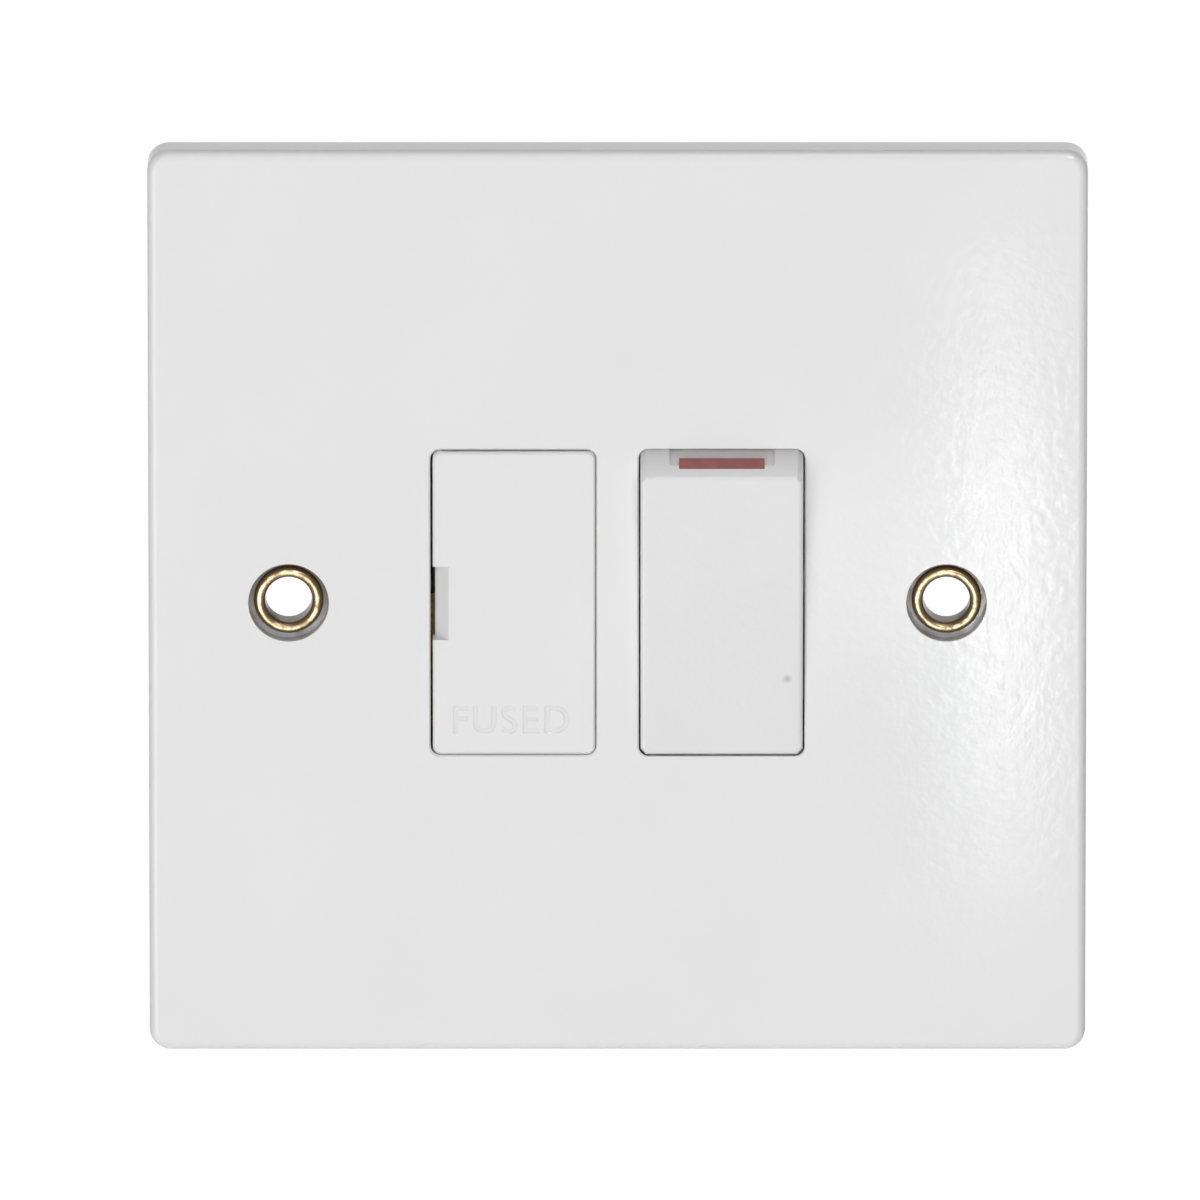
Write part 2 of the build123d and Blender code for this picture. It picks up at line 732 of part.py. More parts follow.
nodes = {
    "plate": make_plate(),
    "rear_housing": make_rear_housing(),
    "housing_screws": make_housing_screws(),
    "eyelet_left": make_eyelet(-eyelet_x),
    "eyelet_right": make_eyelet(eyelet_x),
    "earth_strap": make_earth_strap(),
    "earth_terminal": make_terminal(earth_terminal_x, 1, earth_terminal_width, earth_bores),
    "line_in_terminal": make_terminal(0, 1, terminal_width, [0]),
    "neutral_in_terminal": make_terminal(terminal_pitch, 1, terminal_width, [terminal_pitch]),
    "line_out_terminal": make_terminal(-terminal_pitch, -1, terminal_width, [-terminal_pitch]),
    "neutral_out_terminal": make_terminal(terminal_pitch, -1, terminal_width, [terminal_pitch]),
    "terminal_screws": make_terminal_screws(),
    "line_fixed_contact": make_line_fixed_contact(),
    "neutral_fixed_contact": make_neutral_fixed_contact(),
    "line_fixed_silver": make_silver_face(line_x),
    "neutral_fixed_silver": make_silver_face(neutral_x),
    "line_moving_contact": make_moving_contact(line_x),
    "neutral_moving_contact": make_moving_contact(neutral_x),
    "line_moving_silver": make_silver_dome(line_x),
    "neutral_moving_silver": make_silver_dome(neutral_x),
    "line_link": make_line_link(),
    "neutral_link": make_neutral_link(),
    "rocker": make_rocker(),
    "rocker_flag": make_rocker_flag(),
    "line_plunger": make_plunger(line_x),
    "neutral_plunger": make_plunger(neutral_x),
    "line_spring": make_spring(line_x),
    "neutral_spring": make_spring(neutral_x),
    "fuse_clip_supply": make_fuse_clip_supply(),
    "fuse_clip_load": make_fuse_clip_load(),
    "fuse_carrier": make_fuse_carrier(),
    "fuse_tube": make_fuse_tube(),
    "fuse_cap_upper": make_fuse_cap(1),
    "fuse_cap_lower": make_fuse_cap(-1),
}

os.makedirs("parts", exist_ok=True)
for name, solid in nodes.items():
    export_step(solid, f"parts/{name}.step")
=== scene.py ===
import json
from math import cos, pi, radians, sin

import bmesh
import bpy
from mathutils import Matrix, Vector


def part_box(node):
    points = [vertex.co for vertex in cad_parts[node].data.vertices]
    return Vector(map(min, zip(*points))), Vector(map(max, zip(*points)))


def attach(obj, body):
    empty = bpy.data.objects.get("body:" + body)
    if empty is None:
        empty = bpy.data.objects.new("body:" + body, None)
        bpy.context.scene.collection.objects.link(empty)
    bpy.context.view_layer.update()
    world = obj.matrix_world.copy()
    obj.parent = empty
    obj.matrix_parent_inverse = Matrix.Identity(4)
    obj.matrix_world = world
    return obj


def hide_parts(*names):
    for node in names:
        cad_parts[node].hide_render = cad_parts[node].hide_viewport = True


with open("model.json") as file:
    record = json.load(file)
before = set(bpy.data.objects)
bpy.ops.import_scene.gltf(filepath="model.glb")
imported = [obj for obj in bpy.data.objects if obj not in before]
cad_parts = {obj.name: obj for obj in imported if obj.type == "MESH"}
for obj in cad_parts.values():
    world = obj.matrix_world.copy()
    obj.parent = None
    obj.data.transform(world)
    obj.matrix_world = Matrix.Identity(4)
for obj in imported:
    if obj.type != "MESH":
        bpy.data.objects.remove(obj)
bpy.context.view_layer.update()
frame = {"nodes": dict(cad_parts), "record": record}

nodes = frame["nodes"]
scene = bpy.context.scene
scene.view_settings.view_transform = "Standard"
mm = 0.001
noiseSpan = (0.3, 0.7)  # where most of a noise texture's values lie
weldGap = 1e-7  # vertices this near are one
nodeWeldGap = 1e-6  # the same for a copy of a CAD node
print("frame loaded,", len(nodes), "nodes")


# Helpers for materials, all on Object coordinates in metres

def startMaterial(name):
    material = bpy.data.materials.new(name)
    material.use_nodes = True
    tree = material.node_tree
    coords = tree.nodes.new("ShaderNodeTexCoord").outputs["Object"]
    return material, tree, tree.nodes["Principled BSDF"], coords


def addNoise(tree, coords, scale, detail=2.0, stretch=(1, 1, 1)):
    mapping = tree.nodes.new("ShaderNodeMapping")
    mapping.inputs["Scale"].default_value = stretch
    noise = tree.nodes.new("ShaderNodeTexNoise")
    noise.inputs["Scale"].default_value = scale
    noise.inputs["Detail"].default_value = detail
    tree.links.new(coords, mapping.inputs["Vector"])
    tree.links.new(mapping.outputs["Vector"], noise.inputs["Vector"])
    return noise.outputs["Fac"]


def addRamp(tree, value, stops):  # stops are (position, colour)
    ramp = tree.nodes.new("ShaderNodeValToRGB")
    elements = ramp.color_ramp.elements
    while len(elements) < len(stops):
        elements.new(0.5)
    for element, (position, colour) in zip(elements, stops):
        element.position = position
        element.color = (*colour, 1)
    tree.links.new(value, ramp.inputs["Fac"])
    return ramp.outputs["Color"]


def addTones(tree, value, tones, span=noiseSpan):  # two colours, mixed by a noise
    return addRamp(tree, value, list(zip(span, tones)))


def addRange(tree, value, fromSpan, toSpan):
    span = tree.nodes.new("ShaderNodeMapRange")
    span.inputs["From Min"].default_value, span.inputs["From Max"].default_value = fromSpan
    span.inputs["To Min"].default_value, span.inputs["To Max"].default_value = toSpan
    tree.links.new(value, span.inputs["Value"])
    return span.outputs["Result"]


def addMix(tree, factor, first, second):  # each colour is an output or three numbers
    mix = tree.nodes.new("ShaderNodeMix")
    mix.data_type = "RGBA"
    tree.links.new(factor, mix.inputs["Factor"])
    for socket, colour in ((mix.inputs[6], first), (mix.inputs[7], second)):
        if isinstance(colour, tuple):
            socket.default_value = (*colour, 1)
        else:
            tree.links.new(colour, socket)
    return mix.outputs[2]


def addMath(tree, operation, *values):  # each value is an output or a number
    node = tree.nodes.new("ShaderNodeMath")
    node.operation = operation
    for socket, value in zip(node.inputs, values):
        if isinstance(value, (int, float)):
            socket.default_value = value
        else:
            tree.links.new(value, socket)
    return node.outputs["Value"]


def addDistance(tree, coords, point):
    node = tree.nodes.new("ShaderNodeVectorMath")
    node.operation = "DISTANCE"
    node.inputs[1].default_value = point
    tree.links.new(coords, node.inputs[0])
    return node.outputs["Value"]


def addParts(tree, coords):
    node = tree.nodes.new("ShaderNodeSeparateXYZ")
    tree.links.new(coords, node.inputs["Vector"])
    return node.outputs


def addBump(tree, shader, height, strength, distance):
    bump = tree.nodes.new("ShaderNodeBump")
    bump.inputs["Strength"].default_value = strength
    bump.inputs["Distance"].default_value = distance
    tree.links.new(height, bump.inputs["Height"])
    tree.links.new(bump.outputs["Normal"], shader.inputs["Normal"])


# White moulding of the plate, the rocker and the fuse carrier

whiteLook = {
    "tones": ((0.777, 0.777, 0.777), (0.797, 0.797, 0.796)),
    "cloudScale": 60,
    "scuffScale": 240,
    "rough": (0.085, 0.12),
    "peelScale": 1400,  # gentle waves under a millimetre long
    "peelStrength": 0.7,
    "peelDepth": 0.02 * mm,
}


def makeWhiteMoulding(name, addMarks=None):
    material, tree, shader, coords = startMaterial(name)
    cloud = addNoise(tree, coords, whiteLook["cloudScale"])
    colour = addTones(tree, cloud, whiteLook["tones"])
    if addMarks:
        colour = addMarks(tree, coords, colour)
    tree.links.new(colour, shader.inputs["Base Color"])
    scuff = addNoise(tree, coords, whiteLook["scuffScale"], 4)
    rough = addRange(tree, scuff, noiseSpan, whiteLook["rough"])
    tree.links.new(rough, shader.inputs["Roughness"])
    peel = addNoise(tree, coords, whiteLook["peelScale"], 1)
    addBump(tree, shader, peel, whiteLook["peelStrength"], whiteLook["peelDepth"])
    return material


# Painted shade in the plate's two eyelet wells: grey low down, and brown above it, a painted shade
# tinted like a reflection of the brass

wellShadeLook = {
    "reach": (3.72 * mm, 3.96 * mm),  # from the eyelet's seat; both fade out up the wall
    "greyToBrownZ": (-2.4 * mm, 0.8 * mm),  # the heights between which the grey painted shade gives way to the brown
    # painted shade colours: brown above, grey mottled below
    "brownShade": (0.14, 0.1, 0.065),
    "greyShade": ((0.34, 0.325, 0.335), (0.52, 0.5, 0.51)),
    "shadeMottleScale": 700,
    "shadeMottleSpan": (0.35, 0.65),
}


def addWellShade(tree, coords, colour):
    distances = []
    for nodeName in ("eyelet_left", "eyelet_right"):
        low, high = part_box(nodeName)
        seat = ((low.x + high.x) / 2, low.y + eyeletLook["height"], 0)
        distances.append(addDistance(tree, coords, seat))
    near = addMath(tree, "MINIMUM", *distances)
    # painted shade: the floor and wall of each well are darkened where shade falls
    outside = addRange(tree, near, wellShadeLook["reach"], (0, 1))
    above = addRange(tree, addParts(tree, coords)["Z"], wellShadeLook["greyToBrownZ"], (0, 1))
    speckle = addNoise(tree, coords, wellShadeLook["shadeMottleScale"], 3)
    greyShade = addTones(tree, speckle, wellShadeLook["greyShade"], wellShadeLook["shadeMottleSpan"])
    return addMix(tree, outside, addMix(tree, above, greyShade, wellShadeLook["brownShade"]), colour)


# Marks on the rocker: a grey fleck on its face, and painted shade greying its upper end towards the
# plate

rockerLook = {
    "speck": Vector((15.56, -3.91, -7.06)) * mm,
    "speckRadius": 0.52 * mm,
    "speckColour": (0.5, 0.5, 0.5),
    "bandShadeY": (-5.7 * mm, -3.2 * mm),
    "bandShadeZ": (12.8 * mm, 13.2 * mm),
    "bandShadeColour": (0.7, 0.69, 0.69),
}


def addRockerFleckAndShade(tree, coords, colour):
    distance = addDistance(tree, coords, rockerLook["speck"])
    near = addRange(tree, distance, (0, rockerLook["speckRadius"]), (0, 1))
    colour = addMix(tree, near, rockerLook["speckColour"], colour)
    # painted shade: the rocker's upper end is greyed deeper into the plate's opening, where shade
    # falls
    parts = addParts(tree, coords)
    depth = addRange(tree, parts["Y"], rockerLook["bandShadeY"], (0, 1))
    upper = addRange(tree, parts["Z"], rockerLook["bandShadeZ"], (0, 1))
    bandShade = addMath(tree, "MULTIPLY", depth, upper)
    return addMix(tree, bandShade, colour, rockerLook["bandShadeColour"])


# Satin moulding of the rear housing

housingLook = {
    "tones": ((0.655, 0.655, 0.635), (0.69, 0.69, 0.67)),
    "cloudScale": 90,
    "rough": (0.42, 0.55),
    "grainScale": 2500,
    "grainStrength": 0.25,
    "grainDepth": 0.03 * mm,
}


def makeHousingMoulding():
    material, tree, shader, coords = startMaterial("housingMoulding")
    cloud = addNoise(tree, coords, housingLook["cloudScale"])
    colour = addTones(tree, cloud, housingLook["tones"])
    tree.links.new(colour, shader.inputs["Base Color"])
    grain = addNoise(tree, coords, housingLook["grainScale"], 3)
    rough = addRange(tree, grain, noiseSpan, housingLook["rough"])
    tree.links.new(rough, shader.inputs["Roughness"])
    addBump(tree, shader, grain, housingLook["grainStrength"], housingLook["grainDepth"])
    return material


# Plain finishes: two tones clouded by noise, a span of roughness and a fine grain

grainDepth = 0.02 * mm
finishLooks = {
    "redFlag": {
        "tones": ((0.252, 0.078, 0.073), (0.336, 0.1, 0.092)),
        "rough": (0.35, 0.5), "scale": 700, "grain": 3000, "bump": 0.2,
    },
    "stripBrass": {
        "tones": ((0.6, 0.42, 0.16), (0.75, 0.55, 0.24)), "metal": 1,
        "rough": (0.22, 0.36), "scale": 250, "grain": 1800, "bump": 0.2, "stretch": (1, 1, 0.08),
    },
    "blockBrass": {
        "tones": ((0.62, 0.45, 0.18), (0.78, 0.59, 0.27)), "metal": 1,
        "rough": (0.25, 0.42), "scale": 300, "grain": 2200, "bump": 0.3, "stretch": (0.15, 1, 1),
    },
    "platedSteel": {
        "tones": ((0.52, 0.53, 0.55), (0.7, 0.69, 0.66)), "metal": 1,
        "rough": (0.24, 0.38), "scale": 600, "grain": 2500, "bump": 0.15,
    },
    "springSteel": {
        "tones": ((0.36, 0.36, 0.37), (0.5, 0.5, 0.51)), "metal": 1,
        "rough": (0.28, 0.4), "scale": 900, "grain": 3000, "bump": 0.15,
    },
    "contactSilver": {
        "tones": ((0.78, 0.78, 0.76), (0.9, 0.9, 0.88)), "metal": 1,
        "rough": (0.3, 0.5), "scale": 900, "grain": 3000, "bump": 0.2,
    },
    "clipBronze": {
        "tones": ((0.56, 0.33, 0.17), (0.72, 0.46, 0.25)), "metal": 1,
        "rough": (0.25, 0.38), "scale": 300, "grain": 2000, "bump": 0.2, "stretch": (1, 0.1, 1),
    },
    "capNickel": {
        "tones": ((0.62, 0.6, 0.56), (0.78, 0.76, 0.72)), "metal": 1,
        "rough": (0.14, 0.28), "scale": 400, "grain": 2500, "bump": 0.1,
    },
    "fuseCeramic": {
        "tones": ((0.72, 0.7, 0.65), (0.84, 0.82, 0.77)),
        "rough": (0.5, 0.65), "scale": 350, "grain": 3500, "bump": 0.3,
    },
    "plungerNylon": {
        "tones": ((0.76, 0.75, 0.7), (0.86, 0.85, 0.81)),
        "rough": (0.35, 0.5), "scale": 500, "grain": 2500, "bump": 0.2,
    },
}


def makeFinish(name):
    look = finishLooks[name]
    stretch = look.get("stretch", (1, 1, 1))
    material, tree, shader, coords = startMaterial(name)
    shader.inputs["Metallic"].default_value = look.get("metal", 0)
    cloud = addNoise(tree, coords, look["scale"], 3, stretch)
    tree.links.new(addTones(tree, cloud, look["tones"]), shader.inputs["Base Color"])
    grain = addNoise(tree, coords, look["grain"], 3, stretch)
    rough = addRange(tree, grain, noiseSpan, look["rough"])
    tree.links.new(rough, shader.inputs["Roughness"])
    addBump(tree, shader, grain, look["bump"], grainDepth)
    return material


# Eyelet brass: bright on the worn crown, brown with age down its flanks and in the bore

eyeletLook = {
    "crown": (0.68, 0.6, 0.37),
    "flank": (0.195, 0.12, 0.056),
    "deep": (0.1, 0.065, 0.04),
    "wear": (0.13, 0.23, 0.9),  # how far down each of these colours lies
    "patina": (1, 0.35),  # metal on the crown, dull on the browned flanks
    "patinaSpan": (0.14, 0.26),
    "rough": (0.14, 0.26),
    "cloudScale": 1200,
    "cloudShare": 0.3,  # makes the wear uneven
    "pitting": 0.15,
    "pitDepth": 0.02 * mm,
    "bore": 2.15 * mm,
    "barrel": 2.6 * mm,
    "tail": 3.1 * mm,
    "tailLength": 0.4 * mm,
    "height": 0.63 * mm,  # from the seat in the plate's well to the crown
    "rollSteps": 14,
    "ringSteps": 96,
    "sharpAngle": 40,
}


def makeEyeletBrass(crownY, deepY):
    material, tree, shader, coords = startMaterial("eyeletBrass")
    depth = addRange(tree, addParts(tree, coords)["Y"], (crownY, deepY), (0, 1))
    cloud = addNoise(tree, coords, eyeletLook["cloudScale"], 4)
    worn = addMath(tree, "MULTIPLY_ADD", cloud, eyeletLook["cloudShare"], depth)
    colours = [eyeletLook[part] for part in ("crown", "flank", "deep")]
    colour = addRamp(tree, worn, list(zip(eyeletLook["wear"], colours)))
    tree.links.new(colour, shader.inputs["Base Color"])
    metal = addRange(tree, worn, eyeletLook["patinaSpan"], eyeletLook["patina"])
    tree.links.new(metal, shader.inputs["Metallic"])
    rough = addRange(tree, cloud, noiseSpan, eyeletLook["rough"])
    tree.links.new(rough, shader.inputs["Roughness"])
    addBump(tree, shader, cloud, eyeletLook["pitting"], eyeletLook["pitDepth"])
    return material


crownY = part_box("eyelet_left")[0].y
materials = {
    "white_moulding": makeWhiteMoulding("whiteMoulding"),
    "housing_moulding": makeHousingMoulding(),
    "red_flag": makeFinish("redFlag"),
    "eyelet_brass": makeEyeletBrass(crownY, crownY + eyeletLook["height"]),
    "strip_brass": makeFinish("stripBrass"),
    "block_brass": makeFinish("blockBrass"),
    "plated_steel": makeFinish("platedSteel"),
    "spring_steel": makeFinish("springSteel"),
    "contact_silver": makeFinish("contactSilver"),
    "clip_bronze": makeFinish("clipBronze"),
    "cap_nickel": makeFinish("capNickel"),
    "fuse_ceramic": makeFinish("fuseCeramic"),
    "plunger_nylon": makeFinish("plungerNylon"),
}
markedWhites = {
    "plate": makeWhiteMoulding("plateMoulding", addWellShade),
    "rocker": makeWhiteMoulding("rockerMoulding", addRockerFleckAndShade),
}
slotOf = {row["node"]: row["material_slot"] for row in frame["record"]["subparts"]}
for nodeName, node in nodes.items():
    finish = markedWhites.get(nodeName, materials[slotOf[nodeName]])
    for place in node.material_slots:
        place.material = finish
print("materials on the solids done")


# Helpers for pieces

def finishPiece(name, shape, body, slot, smooth=True):
    mesh = bpy.data.meshes.new(name)
    shape.to_mesh(mesh)
    shape.free()
    if smooth:
        mesh.shade_smooth()
    piece = bpy.data.objects.new(name, mesh)
    scene.collection.objects.link(piece)
    mesh.materials.append(materials[slot])
    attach(piece, body)
    return piece


def closeShape(shape):
    bmesh.ops.remove_doubles(shape, verts=shape.verts, dist=weldGap)
    bmesh.ops.recalc_face_normals(shape, faces=shape.faces)


def profileEdges(shape, points):  # a chain of vertices to spin
    verts = [shape.verts.new(point) for point in points]
    for first, second in zip(verts, verts[1:]):
        shape.edges.new((first, second))
    return list(shape.verts) + list(shape.edges)


def spinRound(shape, geometry, centre, axis, steps):
    bmesh.ops.spin(shape, geom=geometry, cent=centre, axis=axis, angle=2 * pi, steps=steps,
                   use_merge=True)
    closeShape(shape)


# Brass eyelets: one rolled crown, a barrel through the plate and a tail spread behind the strap

def makeEyelet(name, nodeName):
    low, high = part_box(nodeName)
    middleX = (low.x + high.x) / 2
    flange = (high.x - low.x) / 2
    bore, barrel, tail = eyeletLook["bore"], eyeletLook["barrel"], eyeletLook["tail"]
    tailFrontY = high.y - eyeletLook["tailLength"]
    seatY = low.y + eyeletLook["height"]
    roll = (flange - bore) / 2
    rollY = low.y + roll
    points = [(bore, high.y), (tail, high.y), (tail, tailFrontY), (barrel, tailFrontY)]
    points += [(barrel, seatY), (flange, seatY)]
    for step in range(eyeletLook["rollSteps"] + 1):
        angle = pi * step / eyeletLook["rollSteps"]
        points.append((bore + roll + roll * cos(angle), rollY - roll * sin(angle)))
    points.append(points[0])
    shape = bmesh.new()
    geometry = profileEdges(shape, [(middleX + radius, y, 0) for radius, y in points])
    spinRound(shape, geometry, (middleX, 0, 0), (0, 1, 0), eyeletLook["ringSteps"])
    piece = finishPiece(name, shape, "base", "eyelet_brass")
    piece.data.set_sharp_from_angle(angle=radians(eyeletLook["sharpAngle"]))
    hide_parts(nodeName)


makeEyelet("eyeletLeft", "eyelet_left")
makeEyelet("eyeletRight", "eyelet_right")
print("eyelets done")


# Helpers that cut words and slots into pieces

def applyCut(piece, cutShape):
    cutMesh = bpy.data.meshes.new("cut")
    cutShape.to_mesh(cutMesh)
    cutShape.free()
    cutter = bpy.data.objects.new("cut", cutMesh)
    scene.collection.objects.link(cutter)
    modifier = piece.modifiers.new("cut", "BOOLEAN")
    modifier.operation = "DIFFERENCE"
    modifier.solver = "EXACT"
    modifier.use_self = True  # some letters' outlines meet themselves
    modifier.object = cutter
    graph = bpy.context.evaluated_depsgraph_get()
    cutResult = bpy.data.meshes.new_from_object(piece.evaluated_get(graph))
    piece.modifiers.clear()
    piece.data = cutResult
    bpy.data.objects.remove(cutter)
    bpy.data.meshes.remove(cutMesh)


# Adds a word as a cutter; place turns it on to its face
def addWord(shape, text, width, height, depth, slope, place, spacing=1):
    curve = bpy.data.curves.new("word", "FONT")
    curve.body = text
    curve.space_character = spacing
    curve.bevel_depth = slope
    curve.bevel_resolution = 0
    curve.resolution_u = 4
    holder = bpy.data.objects.new("word", curve)
    scene.collection.objects.link(holder)
    graph = bpy.context.evaluated_depsgraph_get()
    wordMesh = bpy.data.meshes.new_from_object(holder.evaluated_get(graph))
    bpy.data.objects.remove(holder)
    bpy.data.curves.remove(curve)
    low = Vector([min(vert.co[axis] for vert in wordMesh.vertices) for axis in range(3)])
    high = Vector([max(vert.co[axis] for vert in wordMesh.vertices) for axis in range(3)])
    size = high - low
    centred = Matrix.Translation(-(low + high) / 2)
    scaled = Matrix.Diagonal((width / size.x, height / size.y, depth / size.z, 1))
    wordMesh.transform(place @ scaled @ centred)
    shape.from_mesh(wordMesh)
    bpy.data.meshes.remove(wordMesh)


def copyNode(name, nodeName, body, slot):
    shape = bmesh.new()
    shape.from_mesh(nodes[nodeName].data)
    bmesh.ops.remove_doubles(shape, verts=shape.verts, dist=nodeWeldGap)
    piece = finishPiece(name, shape, body, slot, smooth=False)
    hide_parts(nodeName)
    return piece


# Fuse carrier, with its word sunk into the face and painted shade on the floors of its letters

carrierLook = {
    "word": "FUSED",
    "spacing": 1.15,
    "width": 10.7 * mm,
    "height": 2.75 * mm,
    "sunk": 0.058 * mm,
    "lift": 0.003 * mm,  # keeps the letters' widest outline off the face
    "slope": 0.024,  # of the letters' sides, in the font's units
    "fromLeft": 7.2 * mm,  # middle of the word from the face's left edge
    "fromBottom": 3.35 * mm,  # and above its lower edge
    "barb": 0.675 * mm,  # the legs' barbs reach this far below the face
    # colour of the painted shade in the sunk letters
    "letterShade": (0.745, 0.745, 0.745),
    "letterShadeDepth": (0.01 * mm, 0.03 * mm),  # where the painted shade starts and is full, in the sunk letters
    "letterShadeTop": 5.5 * mm,  # above the face's lower edge
}


# painted shade: the floors of the sunk letters are greyed, where shade falls
def addLetterShade(tree, coords, colour):
    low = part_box("fuse_carrier")[0]
    parts = addParts(tree, coords)
    start, end = carrierLook["letterShadeDepth"]
    sunk = addRange(tree, parts["Y"], (low.y + start, low.y + end), (0, 1))
    topZ = low.z + carrierLook["barb"] + carrierLook["letterShadeTop"]
    below = addMath(tree, "LESS_THAN", parts["Z"], topZ)
    front = addMath(tree, "LESS_THAN", parts["Y"], low.y + 2 * end)
    letters = addMath(tree, "MULTIPLY", addMath(tree, "MULTIPLY", sunk, below), front)
    return addMix(tree, letters, colour, carrierLook["letterShade"])


def makeCarrier():
    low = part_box("fuse_carrier")[0]
    piece = copyNode("fuseCarrier", "fuse_carrier", "fuse_drawer", "white_moulding")
    middleX = low.x + carrierLook["fromLeft"]
    faceBottomZ = low.z + carrierLook["barb"]
    turn = Matrix.Rotation(pi / 2, 4, "X")
    spot = (middleX, low.y - carrierLook["lift"], faceBottomZ + carrierLook["fromBottom"])
    place = Matrix.Translation(spot) @ turn
    shape = bmesh.new()
    addWord(shape, carrierLook["word"], carrierLook["width"], carrierLook["height"],
            2 * carrierLook["sunk"], carrierLook["slope"], place, carrierLook["spacing"])
    closeShape(shape)
    applyCut(piece, shape)
    piece.data.materials[0] = makeWhiteMoulding("carrierMoulding", addLetterShade)


makeCarrier()
print("fuse carrier done")


# Rear housing, with its terminals' letters sunk into the back

housingWords = {
    "sunk": 0.2 * mm,
    "slope": 0.02,
    "height": 2.0 * mm,
    "letterWidth": 1.5 * mm,  # for each letter or space
    "fromMiddle": 15.3 * mm,
    "words": [  # text, place along X in mm, upper or lower row
        ("E", -15, 1), ("L IN", 0, 1), ("N IN", 15, 1), ("L OUT", -15, -1), ("N OUT", 15, -1),
    ],
}


def makeHousing():
    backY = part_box("rear_housing")[1].y
    piece = copyNode("rearHousing", "rear_housing", "base", "housing_moulding")
    turn = Matrix.Rotation(pi, 4, "Z") @ Matrix.Rotation(pi / 2, 4, "X")
    shape = bmesh.new()
    for text, x, side in housingWords["words"]:
        spot = Matrix.Translation((x * mm, backY, side * housingWords["fromMiddle"]))
        addWord(shape, text, len(text) * housingWords["letterWidth"], housingWords["height"],
                2 * housingWords["sunk"], housingWords["slope"], spot @ turn)
    closeShape(shape)
    applyCut(piece, shape)


makeHousing()
print("rear housing done")


# Screws: turned shanks with cut threads and slotted ends

screwSteps = 32
pinchLook = {
    "radius": 1.75 * mm,
    "pitch": 0.7 * mm,
    "thread": 0.28 * mm,
    "rim": 0.25 * mm,  # chamfer of the slotted end
    "slot": (0.7 * mm, 0.6 * mm),  # width and depth
}
tapperLook = {
    "radius": 1.15 * mm,
    "pitch": 0.6 * mm,
    "thread": 0.3 * mm,
    "tip": 0.3 * mm,  # radius of the blunt end
    "taper": 1.2 * mm,  # from there to the first thread
    "slot": (0.7 * mm, 0.6 * mm),
    "headRadius": 2.1 * mm,
    "headHeight": 1.5 * mm,
    "dome": 0.5 * mm,
    # how far out, as a share of the head's radius, and how far down, as a share of the dome
    "domeCurve": ((1, 1), (0.93, 0.45), (0.75, 0.12), (0.5, 0)),
}


def threadPoints(look, startY, endY):  # crests and roots between two depths
    count = int((endY - startY) / look["pitch"])
    pitch = (endY - startY) / count
    points = []
    for turn in range(count):
        points.append((look["radius"] - look["thread"], startY + turn * pitch))
        points.append((look["radius"], startY + (turn + 0.5) * pitch))
    points.append((look["radius"] - look["thread"], endY))
    return points


def addScrew(shape, points, x, z):  # points run from tip to slotted end
    part = bmesh.new()
    outline = [(0, points[0][1])] + points + [(0, points[-1][1])]
    geometry = profileEdges(part, [(x + radius, y, z) for radius, y in outline])
    spinRound(part, geometry, (x, 0, z), (0, 1, 0), screwSteps)
    mesh = bpy.data.meshes.new("part")
    part.to_mesh(mesh)
    part.free()
    shape.from_mesh(mesh)
    bpy.data.meshes.remove(mesh)


def addSlot(shape, x, z, radius, endY, slot):
    width, depth = slot
    made = bmesh.ops.create_cube(shape, size=1)["verts"]
    bmesh.ops.scale(shape, verts=made, vec=(3 * radius, 2 * depth, width))
    bmesh.ops.translate(shape, verts=made, vec=(x, endY, z))


def makeTerminalScrews():
    low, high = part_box("terminal_screws")
    places = []
    for mount in frame["record"]["mounts"]:
        if mount["kind"] == "bore":
            places.append((mount["pos_m"][0], mount["pos_m"][2]))
    shape = bmesh.new()
    slots = bmesh.new()
    rim = pinchLook["rim"]
    for x, z in places:
        points = threadPoints(pinchLook, low.y, high.y - 2 * rim)
        points += [(pinchLook["radius"], high.y - rim), (pinchLook["radius"] - rim, high.y)]
        addScrew(shape, points, x, z)
        addSlot(slots, x, z, pinchLook["radius"], high.y, pinchLook["slot"])
    piece = finishPiece("terminalScrews", shape, "base", "plated_steel", smooth=False)
    applyCut(piece, slots)
    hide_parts("terminal_screws")


def makeHousingScrews():
    low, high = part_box("housing_screws")
    shape = bmesh.new()
    slots = bmesh.new()
    head = tapperLook["headRadius"]
    seatY = high.y - tapperLook["headHeight"]
    dome = tapperLook["dome"]
    for x, z in ((low.x + head, high.z - head), (high.x - head, low.z + head)):  # on a diagonal
        points = [(tapperLook["tip"], low.y)]
        points += threadPoints(tapperLook, low.y + tapperLook["taper"], seatY)
        points.append((head, seatY))
        points += [(out * head, high.y - down * dome) for out, down in tapperLook["domeCurve"]]
        addScrew(shape, points, x, z)
        addSlot(slots, x, z, head, high.y, tapperLook["slot"])
    piece = finishPiece("housingScrews", shape, "base", "plated_steel", smooth=False)
    applyCut(piece, slots)
    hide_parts("housing_screws")


makeTerminalScrews()
makeHousingScrews()
print("screws done")


# Fuse caps: drawn cups with a rounded end and a crimped rim

capLook = {
    "round": 0.45 * mm,
    "roundSteps": 5,
    "crimp": 0.1 * mm,  # its depth
    "crimpHalf": 0.35 * mm,  # half its width
    "crimpFromRim": 1.1 * mm,
    "wall": 0.2 * mm,
    "end": 0.5 * mm,
    "ringSteps": 64,
    "sharpAngle": 35,
}


